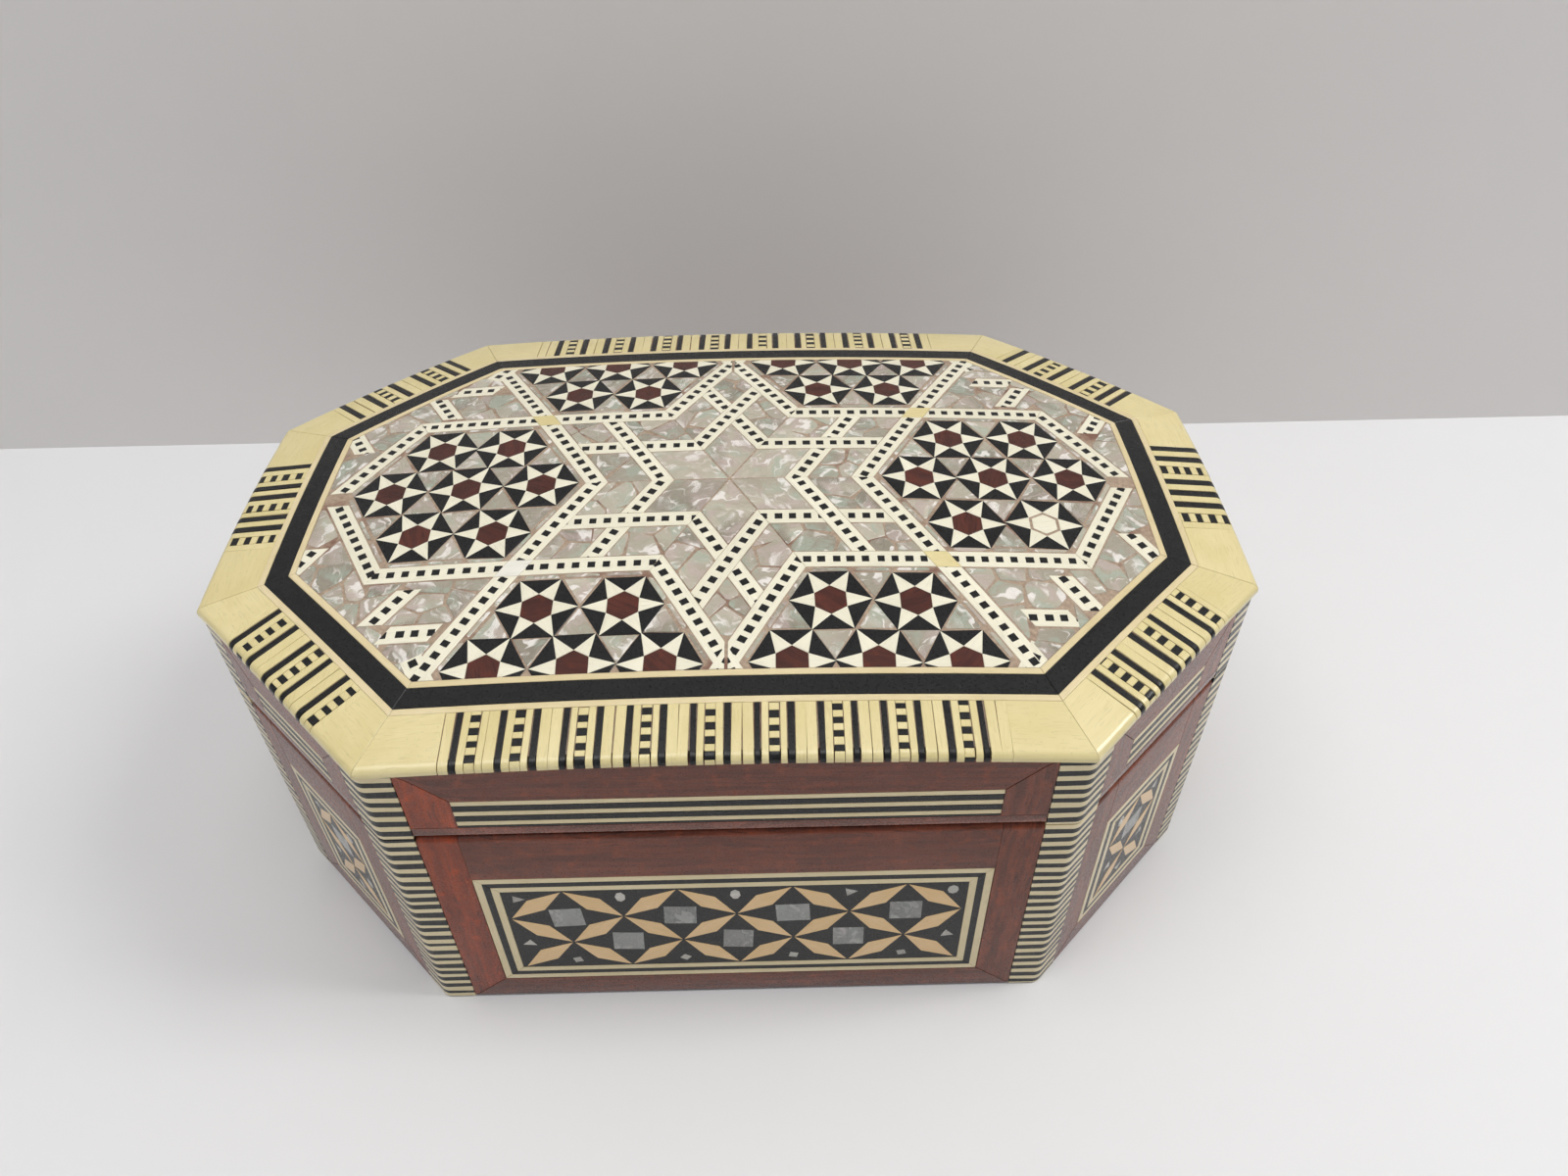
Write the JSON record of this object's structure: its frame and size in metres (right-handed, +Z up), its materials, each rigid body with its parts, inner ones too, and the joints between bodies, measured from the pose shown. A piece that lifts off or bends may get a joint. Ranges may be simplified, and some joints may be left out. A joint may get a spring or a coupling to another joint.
{
  "type": "marquetry trinket box",
  "caption": "Octagonal wooden trinket box with a crowned, hinged lid, bone and mother-of-pearl marquetry, striped corner strips and a velvet-lined hollow.",
  "frame": {"origin": "centre of the underside, where the box stands", "axes": "+Z up; +X along the long side, to the right seen from the front; the hinges are at +Y and the front faces -Y"},
  "size_m": [0.168, 0.1151, 0.0705],
  "materials": {
    "carcase_wood": "satin",
    "rosewood": "glossy lacquer",
    "bone": "glossy lacquered bone",
    "border_bone": "glossy yellowed bone, polished over the edge",
    "black_inlay": "glossy lacquered black",
    "striped_strip": "bone and black laminations under lacquer",
    "marquetry": "bone, pearl and black pieces under lacquer",
    "mother_of_pearl": "pearl, bone and black pieces in paste under lacquer",
    "velvet": "short pile velvet",
    "felt": "thin felt",
    "brass": "lightly tarnished"
  },
  "bodies": {
    "box": {"base_board": "carcase_wood", "base_felt": "felt", "body_black_lines": "black_inlay", "body_bone_lines": "bone", "body_corner_strips": "striped_strip", "body_marquetry_tablets": "marquetry", "body_rails": "rosewood", "body_stiles": "rosewood", "body_wall_back": "carcase_wood", "body_wall_back_left": "carcase_wood", "body_wall_back_right": "carcase_wood", "body_wall_front": "carcase_wood", "body_wall_front_left": "carcase_wood", "body_wall_front_right": "carcase_wood", "body_wall_left": "carcase_wood", "body_wall_lining": "velvet", "body_wall_right": "carcase_wood", "floor_lining": "velvet", "hinge_pin_left": "brass", "hinge_pin_right": "brass", "lower_hinge_leaf_left": "brass", "lower_hinge_leaf_right": "brass", "lower_hinge_screws": "brass"},
    "lid": {"black_band": "black_inlay", "border_cross_blocks": "marquetry", "border_plates": "border_bone", "field_marquetry": "mother_of_pearl", "inner_bone_line": "bone", "lid_black_lines": "black_inlay", "lid_board": "carcase_wood", "lid_bone_lines": "bone", "lid_corner_strips": "striped_strip", "lid_pad": "velvet", "lid_rails": "rosewood", "lid_stiles": "rosewood", "lid_wall_back": "carcase_wood", "lid_wall_back_left": "carcase_wood", "lid_wall_back_right": "carcase_wood", "lid_wall_front": "carcase_wood", "lid_wall_front_left": "carcase_wood", "lid_wall_front_right": "carcase_wood", "lid_wall_left": "carcase_wood", "lid_wall_lining": "velvet", "lid_wall_right": "carcase_wood", "outer_bone_line": "bone", "upper_hinge_leaf_left": "brass", "upper_hinge_leaf_right": "brass", "upper_hinge_screws": "brass"}
  },
  "joints": [
    {"name": "lid_hinge", "type": "hinge", "parent": "box", "child": "lid", "pos_m": [0, 0.05745, 0.0475], "axis": [-1, 0, 0], "range_deg": [0, 105]}
  ]
}
